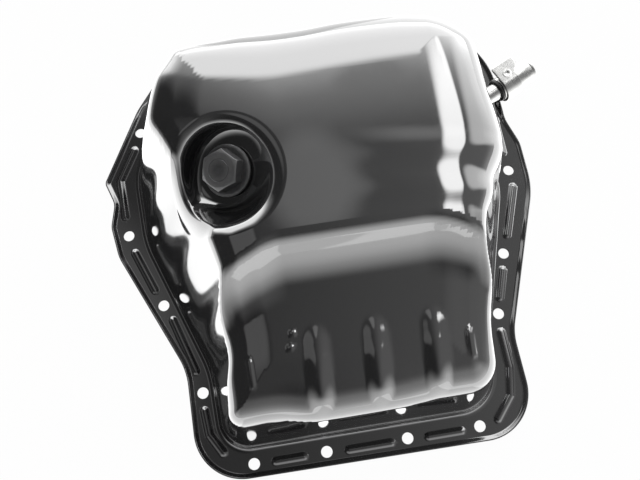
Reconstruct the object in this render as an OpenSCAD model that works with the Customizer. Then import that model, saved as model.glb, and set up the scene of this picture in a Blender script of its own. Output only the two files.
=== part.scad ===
// Pressed steel engine oil pan, lying on its sealing face with the sump's bottom up.
// The sealing face is at z = 0, +X runs along the straight front edge and +Y to the back.

/* [Flange] */
// Width of the flange over its widest points
flange_w = 285.5; // [260:1:320]
// Length of the flange from the front edge to the back edge
flange_l = 295.2; // [270:0.2:330]
// Thickness of the flange sheet
flange_t = 1.6; // [1.2:0.1:2.5]
// Width of the rim that is turned up round the flange
rim_w = 3; // [2:0.25:4]
// Height of the turned-up rim over the flat of the flange
rim_h = 1.8; // [1:0.1:3]
// Diameter of the bolt holes
bolt_hole_d = 7; // [6:0.1:8.5]
// Width of the stiffening beads between the bolt holes
bead_w = 6; // [4:0.5:8]
// Height of the stiffening beads
bead_h = 1.5; // [0.8:0.1:2.2]

/* [Sump] */
// Height of the deep part's bottom over the sealing face
deep_h = 98; // [85:1:125]
// Height of the shallow shelf over the sealing face
shelf_h = 68; // [55:1:80]
// Thickness of the drawn sheet
wall_t = 1.5; // [1:0.1:2]
// Rounding where the walls turn into the bottom
edge_r = 15; // [10:1:20]
// Rounding where the walls turn into the flange
foot_r = 4; // [2.5:0.5:6]
// Horizontal length of the slope between the deep part and the shelf
slope_run = 17; // [12:1:24]
// Height of the pressed waves on the right of the deep part
wave_h = 2.6; // [1:0.2:4]
// Spacing of the pressed waves
wave_pitch = 25; // [20:1:28]

/* [Shelf ribs] */
// Number of ribs over the shelf
rib_count = 3; // [1:1:3]
// Spacing of the ribs
rib_pitch = 33; // [28:1:36]
// Width of a rib where it meets the shelf
rib_w = 17; // [12:0.5:20]
// Height of a rib over the shelf
rib_h = 4; // [2.5:0.25:5]

/* [Drain plug] */
// Thread diameter of the drain plug
plug_d = 20; // [16:1:22]
// Width of the plug's hexagon across its flats
plug_af = 22; // [19:1:26]
// Height of the plug's hexagon
plug_hex_h = 8; // [7:0.5:12]
// Diameter of the plug's flange
plug_flange_d = 30.5; // [28:0.5:34]
// Thickness of the plug's flange
plug_flange_t = 2.2; // [1.5:0.1:4]
// Thickness of the crush washer
gasket_t = 1.8; // [1:0.1:3]
// Radial clearance of the thread and the washer
plug_clear = 0.1; // [0.05:0.05:0.3]
// Height of the threaded boss inside the pocket
boss_h = 9; // [6:0.5:12]
// Lean of the plug's axis from the vertical
plug_lean = 31; // [25:1:36]

/* [Dipstick tube] */
// Outer diameter of the tube
tube_d = 16; // [14:0.5:18]
// Wall thickness of the tube
tube_t = 1.5; // [1:0.1:2]
// Outer diameter of the neck that enters the sump
neck_d = 11.6; // [10:0.2:12.4]
// Length of the neck from the foot of the wall to the shoulder
neck_l = 12; // [10:0.5:16]
// Length of the wide part of the tube
tube_l = 27.5; // [22:0.5:40]
// Height of the tube's axis over the sealing face
tube_z = 15; // [14:0.5:18]
// Thickness of the black seal ring behind the shoulder
seal_t = 2; // [1.5:0.1:3]
// Radial clearance of the neck in the seal and in the sump wall
neck_clear = 0.1; // [0.05:0.05:0.2]
// Length of the bracket along the tube
bracket_l = 17.5; // [12:0.5:20]
// Reach of the bracket's lug from the tube's axis
lug_w = 12.4; // [10:0.2:16]
// Sheet thickness of the bracket
bracket_t = 1.5; // [1:0.1:2]

/* [Hidden] */
$fn = 48;
over = 1;

// The pan's plan is laid out on a sheet of this width and length and follows the driving sizes.
plan_w = 285.5;
plan_l = 295.2;
function at(p) = [p[0] * flange_w / plan_w, p[1] * flange_l / plan_l];

// Corners of the flange's outer edge as x, y and corner radius, anticlockwise from front left.
flange_corners = [
    [-96.5, -143.2, 31], [113.5, -145.2, 31], [112, -82, 40], [147.8, 14, 60], [147.5, 47, 26],
    [141.5, 66, 26], [141, 150, 57], [-84, 150, 26], [-111, 113.5, 45], [-137.7, 62, 5],
    [-132.4, 46, 12], [-136, 30, 14], [-132.6, 8, 30], [-96.8, -73, 45]
];
// Corners of the foot of the sump wall.
foot_corners = [
    [-82.5, -129.6, 22], [95, -129.6, 28], [96.5, -85, 60], [127, 16, 60], [124.5, 127.5, 46],
    [-88, 131, 34], [-106.5, 97, 60], [-118.3, 62, 50], [-116, 14, 70], [-84.5, -76, 60]
];
// Lean of the wall, as its run over its rise, at these places round the foot.
lean_places = [
    [-70, -120, 0.20], [0, -129, 0.11], [85, -122, 0.16], [97, -80, 0.15], [112, -30, 0.25],
    [122, -3, 0.21], [126, 22, 0.145], [124, 80, 0.16], [109, 114, 0.24], [50, 127, 0.18],
    [-20, 127, 0.21], [-60, 130, 0.25], [-88, 120, 0.31], [-107, 94, 0.23], [-117, 64, 0.22],
    [-117, 38, 0.40], [-113, 8, 0.52], [-98, -38, 0.42], [-86, -72, 0.32], [-82, -105, 0.24]
];
bolt_places = [
    [-62.4, -135.4], [-17.7, -135.4], [32.6, -135.4], [78, -135.4],
    [105.6, -68.1], [118.2, -29], [135.3, 28.5], [131, 100],
    [74, 140.5], [6, 140.5], [-62, 140.5],
    [-110.8, 96.7], [-125.1, 22.6], [-106.9, -28.4], [-88.3, -88]
];
// Centre lines of the flange beads.
bead_lines = [
    [[-49, -136], [-32, -136]], [[-4, -136.5], [22, -136.5]], [[45.5, -136.5], [66, -136.5]],
    [[90, -133], [101, -120], [104.5, -103], [104.2, -80]], [[108.5, -58], [114.6, -40]],
    [[123, -17], [135, 16]], [[134, 42], [134, 84]], [[115, 126], [94, 139]],
    [[60, 141], [20, 141]], [[-8, 141], [-48, 141]],
    [[-116, 84], [-127.5, 62.5], [-126.2, 36]], [[-122, 10], [-111.5, -17.5]],
    [[-102, -39], [-91, -74]], [[-88.4, -99], [-87, -114], [-80, -126]]
];

// Plan of the slope, the waves, the ribs, the drain pocket and the tube.
deep_front = -27;
shelf_fall = 0.06;
shelf_mid = -80;
wave_start = 8;
wave_fade = 58;
wave_back = 33;
rib_mid = [17, -90];
rib_turn = -4;
rib_l = 36;
rib_step = 20;
rib_tilts = [114, 84, 54, 42, 30, 18, 6];
bead_steps = [0.5, 0.38, 0.18];
side_beads = [[-53.5, -91, 11], [70, -94, 11]];
side_bead_w = 6.5;
side_bead_h = 1.6;
pips = [[-27, -73], [-29.3, -80.5]];
pip_w = 6;
pip_h = 1;
pocket_mid = [-49.2, 24.5];
pocket_turn = 211;
pocket_r = 22.5;
mouth_x = 28.5;
mouth_y = 31.5;
mouth_shift = [-1.2, -7.8];
pocket_sink = 19;
pocket_z = deep_h - pocket_sink;
boss_d = plug_d + 12;
floor_gap = 0.5;
hole_turn = 64;
gasket_d = plug_flange_d - 3;
tip_l = 3;
hex_turn = 41;
ring_d = 13;
face_d = 19.3;
ring_cut = 0.25;
tube_foot = [127, 77.6];
tube_turn = 26;
neck_in = 9;
bracket_gap = 0.05;

// Rounded outline from corners: each corner becomes an arc of its radius.
function unit(v) = v / norm(v);
function corner_arc(a, b, c, n) =
    let (r = b[2], p = [b[0], b[1]], u = unit([a[0], a[1]] - p), v = unit([c[0], c[1]] - p),
         half = acos(max(-1, min(1, u * v))) / 2, reach = r / tan(half), mid = unit(u + v),
         centre = p + mid * (r / sin(half)), s = p + u * reach - centre, sweep = 180 - 2 * half,
         way = sign(cross(u, v)))
    [for (k = [0:n]) let (t = -way * sweep * k / n)
        centre + [s[0] * cos(t) - s[1] * sin(t), s[0] * sin(t) + s[1] * cos(t)]];
function outline(corners, n) =
    let (m = len(corners))
    [for (i = [0:m - 1]) each corner_arc(corners[(i + m - 1) % m], corners[i], corners[(i + 1) % m], n)];
function inset(points, d) =
    let (m = len(points))
    [for (i = [0:m - 1])
        let (t = unit(points[(i + 1) % m] - points[(i + m - 1) % m])) points[i] + d * [-t[1], t[0]]];

// The foot of the wall, its four sides between the rounded corners, and the grid over the sump.
arc_n = 6;
foot = [for (p = outline(foot_corners, arc_n)) at(p)];
foot_n = len(foot);
function mid_of(corner) = corner * (arc_n + 1) + arc_n / 2;
function side(a, b) = [for (i = [a:b]) foot[i % foot_n]];
front_side = side(mid_of(0), mid_of(1));
right_side = side(mid_of(1), mid_of(4));
back_side = side(mid_of(4), mid_of(5));
left_side = side(mid_of(5), mid_of(0) + foot_n);
front_table = [for (p = front_side) p];
back_table = [for (i = [len(back_side) - 1:-1:0]) back_side[i]];
right_table = [for (p = right_side) [p[1], p[0]]];
left_table = [for (i = [len(left_side) - 1:-1:0]) [left_side[i][1], left_side[i][0]]];
corner_fl = front_side[0];
corner_fr = right_side[0];
corner_br = back_side[0];
corner_bl = left_side[0];
function mix(a, b, t) = a + (b - a) * t;
function on_front(u) = let (x = mix(corner_fl[0], corner_fr[0], u)) [x, lookup(x, front_table)];
function on_back(u) = let (x = mix(corner_bl[0], corner_br[0], u)) [x, lookup(x, back_table)];
function on_left(v) = let (y = mix(corner_fl[1], corner_bl[1], v)) [lookup(y, left_table), y];
function on_right(v) = let (y = mix(corner_fr[1], corner_br[1], v)) [lookup(y, right_table), y];
function plan_point(u, v) =
    mix(on_front(u), on_back(u), v) + mix(on_left(v), on_right(v), u)
    - mix(mix(corner_fl, corner_fr, u), mix(corner_bl, corner_br, u), v);

// Distance from a plan point to the foot of the wall.
function edge_distance(p, a, b) =
    let (ab = b - a, t = max(0, min(1, (p - a) * ab / (ab * ab)))) norm(p - a - ab * t);
function foot_distance(p) =
    min([for (i = [0:foot_n - 1]) edge_distance(p, foot[i], foot[(i + 1) % foot_n])]);

// Lean of the wall near a plan point, blended from the places round the foot.
function lean_weight(p, q) = let (s = p - at([q[0], q[1]])) 1 / pow(s * s + 60, 2);
function lean(p) =
    let (w = [for (q = lean_places) lean_weight(p, q)], ones = [for (q = w) 1])
    (w * [for (q = lean_places) q[2]]) / (w * ones);

// A ramp from 0 to 1 with rounded ends a and b over the run l.
function ramp(t, l, a, b) =
    let (g = 1 / (l - a / 2 - b / 2))
    t <= 0 ? 0 : t >= l ? 1
    : t < a ? g * t * t / (2 * a)
    : t > l - b ? 1 - g * (l - t) * (l - t) / (2 * b)
    : g * (t - a / 2);

// Pressed waves on the right of the deep part, with creases between them.
function wave(p) =
    let (y = p[1] + 0.13 * (p[0] - 20), s = (wave_back - y) / wave_pitch, f = 2 * (s - floor(s)) - 1)
    s < 0 || s > 2 ? 0 : wave_h * (1 - f * f) * ramp(p[0] - wave_start, wave_fade, 20, 20);

// Height of the bottom without walls: shelf in front, slope, deep part behind.
function step_front(p) = deep_front - slope_run - max(0, p[0] - 52) * max(0, p[0] - 52) * 0.02;
function bottom(p) =
    let (s = ramp(p[1] - step_front(p), slope_run + 8, 9, 7),
         low = shelf_h + shelf_fall * (p[1] - shelf_mid),
         high = deep_h - pow((p[0] - 10) / 70, 2) - pow((p[1] - 40) / 60, 2))
    mix(low, high, s) + s * wave(p);

// Height of the wall at a distance from its foot, which starts with a rounding.
function wall_height(d, m) =
    let (t = atan(m), d1 = foot_r * sin(t))
    flange_t + (d < d1 ? foot_r - sqrt(foot_r * foot_r - d * d) : foot_r * (1 - cos(t)) + (d - d1) * m);

// Wall and bottom met by a circular rounding.
function rounded(w, b, m) =
    let (t = atan(m), reach = edge_r * tan(t / 2), e = (w - b) / m)
    e >= reach ? b : e <= -reach * cos(t) ? w
    : b - edge_r + sqrt(edge_r * edge_r - (reach - e) * (reach - e));
function height(p) =
    let (m = 1 / lean(p), d = foot_distance(p), out = 0.7 * wave(p) * min(1, d / 12))
    rounded(wall_height(d + out, m), bottom(p), m);
function skin_point(p, depth) =
    let (h = height(p), e = 0.1,
         n = unit([h - height(p + [e, 0]), h - height(p + [0, e]), e]))
    [p[0], p[1], h] - depth * n;

// Grid marks, closer where the walls and the slope are.
u_marks = [0, 1.6, 3.4, 5.5, 8, 10.5, 13, 15.5, 18, 20.5, 23, 26, 30, 35, 41, 47.5, 54, 60.5, 66, 70.5,
           74, 77, 79.5, 82, 84.5, 87, 89, 91, 92.8, 94.4, 95.9, 97.3, 98.6, 100] / 100;
v_marks = [0, 1, 2, 3.1, 4.3, 5.6, 7.1, 9, 12, 16, 21, 26, 30, 32.5, 34.7, 36.7, 38.6, 40.5, 42.6, 45,
           48.5, 52, 55.5, 59, 62.5, 66, 70, 75, 80, 84, 87, 89.5, 91.6, 93.4, 95, 96.4, 97.7, 98.9, 100] / 100;

// Closed solid under the sump's skin, sunk by depth, down to the level base.
module sump_solid(depth, edge_z, base) {
    nu = len(u_marks);
    nv = len(v_marks);
    top = [for (v = v_marks) for (u = u_marks)
        let (p = plan_point(u, v), rim = u == 0 || u == 1 || v == 0 || v == 1)
        rim ? [p[0], p[1], edge_z] : skin_point(p, depth)];
    ring = concat([for (i = [0:nu - 1]) i], [for (j = [1:nv - 1]) j * nu + nu - 1],
                  [for (i = [nu - 2:-1:0]) (nv - 1) * nu + i], [for (j = [nv - 2:-1:1]) j * nu]);
    m = len(ring);
    foot_points = [for (k = ring) [top[k][0], top[k][1], base]];
    polyhedron(
        points = concat(top, foot_points),
        faces = concat(
            [for (j = [0:nv - 2]) for (i = [0:nu - 2]) each
                let (a = j * nu + i, b = a + 1, c = a + nu, d = c + 1) [[a, c, b], [b, c, d]]],
            [for (k = [0:m - 1]) each
                let (a = ring[k], b = ring[(k + 1) % m], c = nu * nv + k, d = nu * nv + (k + 1) % m)
                [[a, b, c], [b, d, c]]],
            [[for (k = [0:m - 1]) nu * nv + k]]));
}

sump_outer_z = flange_t - 0.3;
sump_base_z = flange_t / 4;
module sump_outer() sump_solid(0, sump_outer_z, sump_base_z);
module sump_inner() sump_solid(wall_t, flange_t - wall_t, -2 * over);

// Solid through rings of points, closed by a flat face at either end.
module loft(rings) {
    n = len(rings[0]);
    last = len(rings) - 1;
    polyhedron(
        points = [for (ring = rings) each ring],
        faces = concat(
            [[for (k = [0:n - 1]) k], [for (k = [n - 1:-1:0]) last * n + k]],
            [for (j = [0:last - 1]) for (k = [0:n - 1]) each
                let (a = j * n + k, b = j * n + (k + 1) % n, c = a + n, d = b + n) [[a, c, b], [b, c, d]]]));
}

// Outline of a track of half width r round a line of plan points.
function turned(v, t) = [v[0] * cos(t) - v[1] * sin(t), v[0] * sin(t) + v[1] * cos(t)];
function track(path, r, step) =
    let (m = len(path), way = [for (i = [1:m - 1]) unit(path[i] - path[i - 1])],
         beside = [for (i = [1:1:m - 2]) turned(unit(way[i - 1] + way[i]), -90)])
    concat([for (i = [1:1:m - 2]) path[i] + r * beside[i - 1]],
           [for (t = [-90:step:90]) path[m - 1] + r * turned(way[m - 2], t)],
           [for (i = [m - 2:-1:1]) path[i] - r * beside[i - 1]],
           [for (t = [90:step:270]) path[0] + r * turned(way[0], t)]);

// Pressed rib of a width and height over the shelf, as the cap of a round bar with round ends.
function cap_r(w, h) = (w * w / 4 + h * h) / (2 * h);
function shelf_z(p) = shelf_h + shelf_fall * (p[1] - shelf_mid);
module shelf_bar(mid, turn, l, w, h, depth) {
    axis_r = cap_r(w, h);
    r = axis_r - depth;
    run = l / 2 * [-sin(turn), cos(turn)];
    loft([for (t = rib_tilts) [for (p = track([mid - run, mid + run], r * sin(t), rib_step))
        [p[0], p[1], shelf_z(p) + h - axis_r + r * cos(t)]]]);
}
module ribs(depth) {
    for (i = [0:rib_count - 1])
        shelf_bar(at(rib_mid) + [(i - (rib_count - 1) / 2) * rib_pitch, 0], rib_turn, rib_l, rib_w, rib_h, depth);
    for (b = side_beads) shelf_bar(at([b[0], b[1]]), 0, b[2], side_bead_w, side_bead_h, depth);
}
module pip_domes()
    for (p = pips) let (q = at(p), r = cap_r(pip_w, pip_h)) translate([q[0], q[1], shelf_z(q) + pip_h - r]) sphere(r);

// Frame of the drain pocket: +Z runs out along the plug, and z = 0 is the pocket's floor.
module in_pocket() {
    q = at(pocket_mid);
    translate([q[0], q[1], pocket_z]) rotate([0, plug_lean, pocket_turn]) children();
}

// Drain pocket from its tilted round floor to its level oval mouth.
function pocket_floor(t, r, depth) =
    let (u = [cos(plug_lean) * cos(pocket_turn), cos(plug_lean) * sin(pocket_turn), -sin(plug_lean)],
         w = [-sin(pocket_turn), cos(pocket_turn), 0],
         a = [sin(plug_lean) * cos(pocket_turn), sin(plug_lean) * sin(pocket_turn), cos(plug_lean)])
    r * (cos(t) * u + sin(t) * w) - depth * a;
module pocket(depth) {
    n = 36;
    q = at(pocket_mid);
    low = [for (k = [0:n - 1]) pocket_floor(k * 360 / n, pocket_r + depth * 0.8, depth)];
    mouth = [for (k = [0:n - 1]) let (t = k * 360 / n + pocket_turn)
        [mouth_shift[0] + (mouth_x + depth) * cos(t), mouth_shift[1] + (mouth_y + depth) * sin(t), pocket_sink]];
    high = [for (k = [0:n - 1]) let (m = mouth[k]) [m[0] * 1.1, m[1] * 1.1, m[2] + 6]];
    translate([q[0], q[1], pocket_z]) loft([low, mouth, high]);
}

// Flange sheet inside its turned-up rim, and the rim itself as one ring of sloping sheet.
edge = [for (p = outline(flange_corners, arc_n)) at(p)];
module flange_sheet() linear_extrude(flange_t) polygon(inset(edge, rim_w));
module rim() {
    root = rim_w + 0.6;
    rings = [inset(edge, root), inset(edge, 0.3), edge, inset(edge, root)];
    heights = [sump_base_z, rim_h, rim_h + flange_t, flange_t - 0.3];
    m = len(edge);
    polyhedron(
        points = [for (k = [0:3]) each [for (p = rings[k]) [p[0], p[1], heights[k]]]],
        faces = [for (k = [0:3]) for (i = [0:m - 1]) each
            let (a = k * m + i, b = k * m + (i + 1) % m, c = (k + 1) % 4 * m + i,
                 d = (k + 1) % 4 * m + (i + 1) % m)
            [[a, c, b], [b, c, d]]]);
}

// Stiffening beads of the flange, and the hollows under them.
module strip(path, w, heights)
    loft([for (k = [0:2]) [for (p = track(path, w * bead_steps[k], 45)) [p[0], p[1], heights[k]]]]);
module beads()
    for (line = bead_lines)
        strip([for (p = line) at(p)], bead_w, [flange_t / 2, flange_t + 0.7 * bead_h, flange_t + bead_h]);
module bead_hollows()
    for (line = bead_lines)
        strip([for (p = line) at(p)], bead_w - flange_t, [-over, 0.7 * bead_h, bead_h]);
module bolt_holes()
    for (p = bolt_places) let (q = at(p)) translate([q[0], q[1], -over]) cylinder(d = bolt_hole_d, h = flange_t + 2 * over);

module pan() color([0.05, 0.05, 0.055]) difference() {
    union() {
        difference() {
            union() {
                sump_outer();
                ribs(0);
                pip_domes();
            }
            pocket(0);
        }
        flange_sheet();
        rim();
        beads();
    }
    difference() {
        union() {
            sump_inner();
            ribs(wall_t);
        }
        pocket(wall_t);
    }
    bead_hollows();
    bolt_holes();
    in_pocket() translate([0, 0, -wall_t - over]) rotate(hole_turn)
        cylinder(d = plug_d + 2 * floor_gap, h = wall_t + 2 * over);
    in_tube() translate([0, 0, -neck_in - over]) cylinder(d = neck_d + 2 * neck_clear, h = neck_in + neck_l);
}

module drain_boss() color([0.45, 0.45, 0.46]) in_pocket() translate([0, 0, -wall_t - boss_h]) difference() {
    cylinder(d = boss_d, h = boss_h);
    translate([0, 0, -over]) cylinder(d = plug_d + 2 * plug_clear, h = boss_h + 2 * over);
}

module drain_gasket() color([0.7, 0.68, 0.62]) in_pocket() difference() {
    cylinder(d = gasket_d, h = gasket_t);
    translate([0, 0, -over]) cylinder(d = plug_d + 2 * plug_clear, h = gasket_t + 2 * over);
}

module drain_plug() color([0.12, 0.12, 0.125]) in_pocket() translate([0, 0, gasket_t]) {
    shank = gasket_t + wall_t + boss_h + tip_l;
    hex_d = plug_af / cos(30);
    head_top = plug_flange_t + plug_hex_h;
    bevel = (hex_d - face_d) / 2;
    cylinder(d = plug_flange_d, h = plug_flange_t);
    translate([0, 0, -shank]) cylinder(d1 = plug_d - 2, d2 = plug_d, h = 1);
    translate([0, 0, 1 - shank]) cylinder(d = plug_d, h = shank);
    difference() {
        intersection() {
            translate([0, 0, plug_flange_t / 2]) rotate(hex_turn)
                cylinder(d = hex_d, h = head_top - plug_flange_t / 2, $fn = 6);
            rotate_extrude() polygon([[0, 0], [hex_d / 2 + over, 0],
                [hex_d / 2 + over, head_top - (bevel + over) * tan(25)],
                [hex_d / 2 - bevel, head_top], [0, head_top]]);
        }
        translate([0, 0, head_top - ring_cut]) difference() {
            cylinder(d = ring_d, h = over);
            translate([0, 0, -over]) cylinder(d = ring_d - 1, h = 3 * over);
        }
    }
}

// Frame of the dipstick tube: +Z runs out along the tube, and z = 0 is over the foot of the wall.
module in_tube() {
    q = at(tube_foot);
    translate([q[0], q[1], tube_z]) rotate([0, 90, tube_turn]) children();
}
module dipstick_tube() color([0.78, 0.78, 0.77]) in_tube() difference() {
    union() {
        translate([0, 0, -neck_in]) cylinder(d = neck_d, h = neck_in + neck_l + 0.5);
        translate([0, 0, neck_l]) cylinder(d = tube_d, h = tube_l);
    }
    translate([0, 0, -neck_in - over]) cylinder(d = neck_d - 2 * tube_t, h = neck_in + neck_l + 3 * over);
    translate([0, 0, neck_l + tube_t]) cylinder(d = tube_d - 2 * tube_t, h = tube_l);
}

module tube_seal() color([0.04, 0.04, 0.04]) in_tube() translate([0, 0, neck_l - seal_t]) rotate_extrude()
    translate([neck_d / 2 + neck_clear, 0]) polygon([[0, 0.3], [0.3, 0], [1.5, 0], [1.9, 0.5], [1.9, seal_t - 0.5],
        [1.5, seal_t], [0.3, seal_t], [0, seal_t - 0.3]]);

module tube_bracket() color([0.82, 0.82, 0.8]) in_tube() translate([0, 0, neck_l + 1]) {
    r = tube_d / 2 + bracket_gap;
    // The tube's frame has its own -X upwards and its own Y to the back.
    difference() {
        cylinder(r = r + bracket_t, h = bracket_l);
        translate([0, 0, -over]) cylinder(r = r, h = bracket_l + 2 * over);
        translate([-2 * r, 0.4, -over]) cube([4 * r, 2 * r, bracket_l + 2 * over]);
    }
    translate([-r - bracket_t, 0, 0]) cube([bracket_t, lug_w, bracket_l]);
}

tube_end = at(tube_foot) + (neck_l + tube_l) * [cos(tube_turn), sin(tube_turn)];
x_low = min([for (p = edge) p[0]]);
x_high = tube_end[0] + tube_d / 2 * sin(tube_turn);
y_low = min([for (p = edge) p[1]]);
y_high = max([for (p = edge) p[1]]);
module placed() translate([-(x_low + x_high) / 2, -(y_low + y_high) / 2, 0]) children();

placed() pan();
placed() drain_boss();
placed() drain_gasket();
placed() drain_plug();
placed() dipstick_tube();
placed() tube_bracket();
placed() tube_seal();
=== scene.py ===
"""Engine oil pan: the looks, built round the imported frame.

The pan's skin is one smooth surface over its plan. It is worked out here in millimetres on the
pan's own sheet, whose middle lies off the frame's origin, and becomes metres in the meshes.
"""
import math

import bpy
import numpy as np
from mathutils import Matrix, Vector
from mathutils.geometry import delaunay_2d_cdt


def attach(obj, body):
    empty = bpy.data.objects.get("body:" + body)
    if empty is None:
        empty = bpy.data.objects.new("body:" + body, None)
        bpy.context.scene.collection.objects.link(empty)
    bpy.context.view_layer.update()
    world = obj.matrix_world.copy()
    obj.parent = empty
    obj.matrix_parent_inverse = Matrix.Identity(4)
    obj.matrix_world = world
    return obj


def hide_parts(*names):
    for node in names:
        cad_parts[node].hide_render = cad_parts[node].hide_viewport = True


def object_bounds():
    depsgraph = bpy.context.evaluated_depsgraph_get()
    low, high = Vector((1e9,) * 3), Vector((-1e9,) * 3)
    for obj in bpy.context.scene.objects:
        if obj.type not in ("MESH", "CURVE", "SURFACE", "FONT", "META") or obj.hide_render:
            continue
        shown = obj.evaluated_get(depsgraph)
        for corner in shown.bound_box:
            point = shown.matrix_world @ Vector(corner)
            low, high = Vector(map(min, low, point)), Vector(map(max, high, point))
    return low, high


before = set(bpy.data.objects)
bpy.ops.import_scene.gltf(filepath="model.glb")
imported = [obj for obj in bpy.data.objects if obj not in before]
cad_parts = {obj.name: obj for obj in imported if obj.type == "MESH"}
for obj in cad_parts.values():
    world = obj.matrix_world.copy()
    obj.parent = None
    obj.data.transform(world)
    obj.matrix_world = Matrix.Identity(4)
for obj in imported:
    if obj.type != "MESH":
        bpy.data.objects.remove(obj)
cad_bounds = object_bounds()
MM = 0.001

# Flange, in millimetres on the pan's sheet: corners as x, y and radius, anticlockwise.
FLANGE_T = 1.6
RIM_W = 3.0
RIM_H = 1.8
# Rim from the flat outwards: distance in from the edge, rise over the flat, inward tilt.
RIM_PROFILE = [
    (RIM_W + 0.7, 0, 0), (RIM_W + 0.3, 0.04, 0.2), (RIM_W - 0.1, 0.2, 0.45),
    (RIM_W - 0.7, 0.62, 0.6), (1.2, RIM_H - 0.45, 0.55), (0.6, RIM_H - 0.16, 0.2),
    (0.25, RIM_H - 0.1, -0.3), (0, RIM_H - 0.35, -1.2),
]
BOLT_R = 3.5
HOLE_ROUND = 0.25
BEAD_W = 6.0
BEAD_H = 1.5
FLANGE_CORNERS = [
    (-96.5, -143.2, 31), (113.5, -145.2, 31), (112, -82, 40), (147.8, 14, 60), (147.5, 47, 26),
    (141.5, 66, 26), (141, 150, 57), (-84, 150, 26), (-111, 113.5, 45), (-137.7, 62, 5),
    (-132.4, 46, 12), (-136, 30, 14), (-132.6, 8, 30), (-96.8, -73, 45),
]
BOLTS = [
    (-62.4, -135.4), (-17.7, -135.4), (32.6, -135.4), (78, -135.4),
    (105.6, -68.1), (118.2, -29), (135.3, 28.5), (131, 100),
    (74, 140.5), (6, 140.5), (-62, 140.5),
    (-110.8, 96.7), (-125.1, 22.6), (-106.9, -28.4), (-88.3, -88),
]
BEADS = [
    [(-49, -136), (-32, -136)], [(-4, -136.5), (22, -136.5)], [(45.5, -136.5), (66, -136.5)],
    [(90, -133), (101, -120), (104.5, -103), (104.2, -80)], [(108.5, -58), (114.6, -40)],
    [(123, -17), (135, 16)], [(134, 42), (134, 84)], [(115, 126), (94, 139)],
    [(60, 141), (20, 141)], [(-8, 141), (-48, 141)],
    [(-116, 84), (-127.5, 62.5), (-126.2, 36)], [(-122, 10), (-111.5, -17.5)],
    [(-102, -39), (-91, -74)], [(-88.4, -99), (-87, -114), (-80, -126)],
]

# Sump: the foot of its wall, the wall's lean as run over rise, and the bottom's heights.
FOOT_CORNERS = [
    (-82.5, -129.6, 22), (95, -129.6, 28), (96.5, -85, 60), (127, 16, 60), (124.5, 127.5, 46),
    (-88, 131, 34), (-106.5, 97, 60), (-118.3, 62, 50), (-116, 14, 70), (-84.5, -76, 60),
]
LEANS = [
    (-70, -120, 0.20), (0, -129, 0.11), (85, -122, 0.16), (97, -80, 0.15), (112, -30, 0.25),
    (122, -3, 0.21), (126, 22, 0.145), (124, 80, 0.16), (109, 114, 0.24), (50, 127, 0.18),
    (-20, 127, 0.21), (-60, 130, 0.25), (-88, 120, 0.31), (-107, 94, 0.23), (-117, 64, 0.22),
    (-117, 38, 0.40),
    (-113, 8, 0.52), (-98, -38, 0.42), (-86, -72, 0.32), (-82, -105, 0.24),
]
# How far a place takes its lean from the nearest entries, squared.
LEAN_BLUR = 60.0
DEEP_H = 98.0
# The deep bottom falls by 1 mm at this distance from its highest place, along x and y.
DEEP_TOP = (10.0, 40.0)
DEEP_SPAN = (70.0, 60.0)
SHELF_H = 68.0
SHELF_FALL = 0.06
SHELF_MID = -80.0
WALL_T = 1.5
FOOT_R = 4.0

# Rounding between wall and bottom, with what it gains at the back and the front.
EDGE_R = 15.0
BACK_EDGE_MORE = 11.7
BACK_EDGE_AT = (-70.0, -40.0)
BACK_EDGE_RUN = (60.0, 50.0)
BACK_EDGE_ENDS = 20.0
FRONT_EDGE_MORE = 6.5
FRONT_EDGE_AT = -80.0
FRONT_EDGE_RUN = 30.0
FRONT_EDGE_ENDS = 12.0
# Soft dip that leads the bottom into the rounding.
EASE_FALL = 1.6
EASE_RUN = 14.0
EASE_AT = 0.4

# Slope between the deep bottom and the shelf, and how it turns forward at its sides.
DEEP_FRONT = -27.0
SLOPE_RUN = 17.0
SLOPE_FADE = 11.5
SLOPE_MORE = 16.0
SLOPE_FOOT = 26.0
SLOPE_TOP = 7.0
LEFT_TURN_X = -26.0
LEFT_TURN_RATE = 0.55
LEFT_TURN_EASE = 16.0
RIGHT_TURN_X = 52.0
RIGHT_TURN_RATE = 0.011

# Pressed waves across the right of the deep part.
WAVE_H = 1.8
WAVE_PITCH = 25.0
WAVE_COUNT = 2
WAVE_START = 8.0
WAVE_FADE = 58.0
WAVE_ENDS = 20.0
WAVE_BACK = 33.0
WAVE_SKEW = 0.13
WAVE_SKEW_X = 20.0
WAVE_ON_BOTTOM = 0.2
# Waves and ribs push the wall out too, from this far over its foot.
RIB_ON_WALL = 0.25
WALL_FADE = 12.0

# Shelf: ribs, side beads (x, y, length) and pips.
RIB_MID = (17.0, -95.5)
RIB_PITCH = 33.0
RIB_W = 17.0
RIB_H = 2.6
RIB_L = 28.0
RIB_TURN = math.radians(-4)
RIB_LOW = 0.4
RIB_ENDS = 6.0
BACK_STRETCH = 0.65
FRONT_STRETCH = 0.85
SIDE_BEADS = [(-53.5, -91, 11), (70, -94, 11)]
SIDE_BEAD_W = 6.5
SIDE_BEAD_H = 1.1
PIPS = [(-27, -73), (-29.3, -80.5)]
PIP_W = 6.0
PIP_H = 0.7

# Drain pocket: tilted floor, and an oval mouth in the sump's bottom.
POCKET_MID = np.array([-49.2, 24.5, 79.0])
POCKET_R = 22.5
POCKET_FLAT = 16.5
POCKET_TURN = math.radians(211)
PLUG_LEAN = math.radians(31)
MOUTH = (28.5, 31.5)
MOUTH_SHIFT = (-1.2, -7.8)
LIP = 6.0
MOUTH_EASE = math.radians(18)
LOW_WALL = 0.45
HIGH_WALL = 0.4
GASKET_T = 1.8

# The grid stays out of the pocket's outermost ring, made wider by this share.
POCKET_ROOM = 1.03

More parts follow.
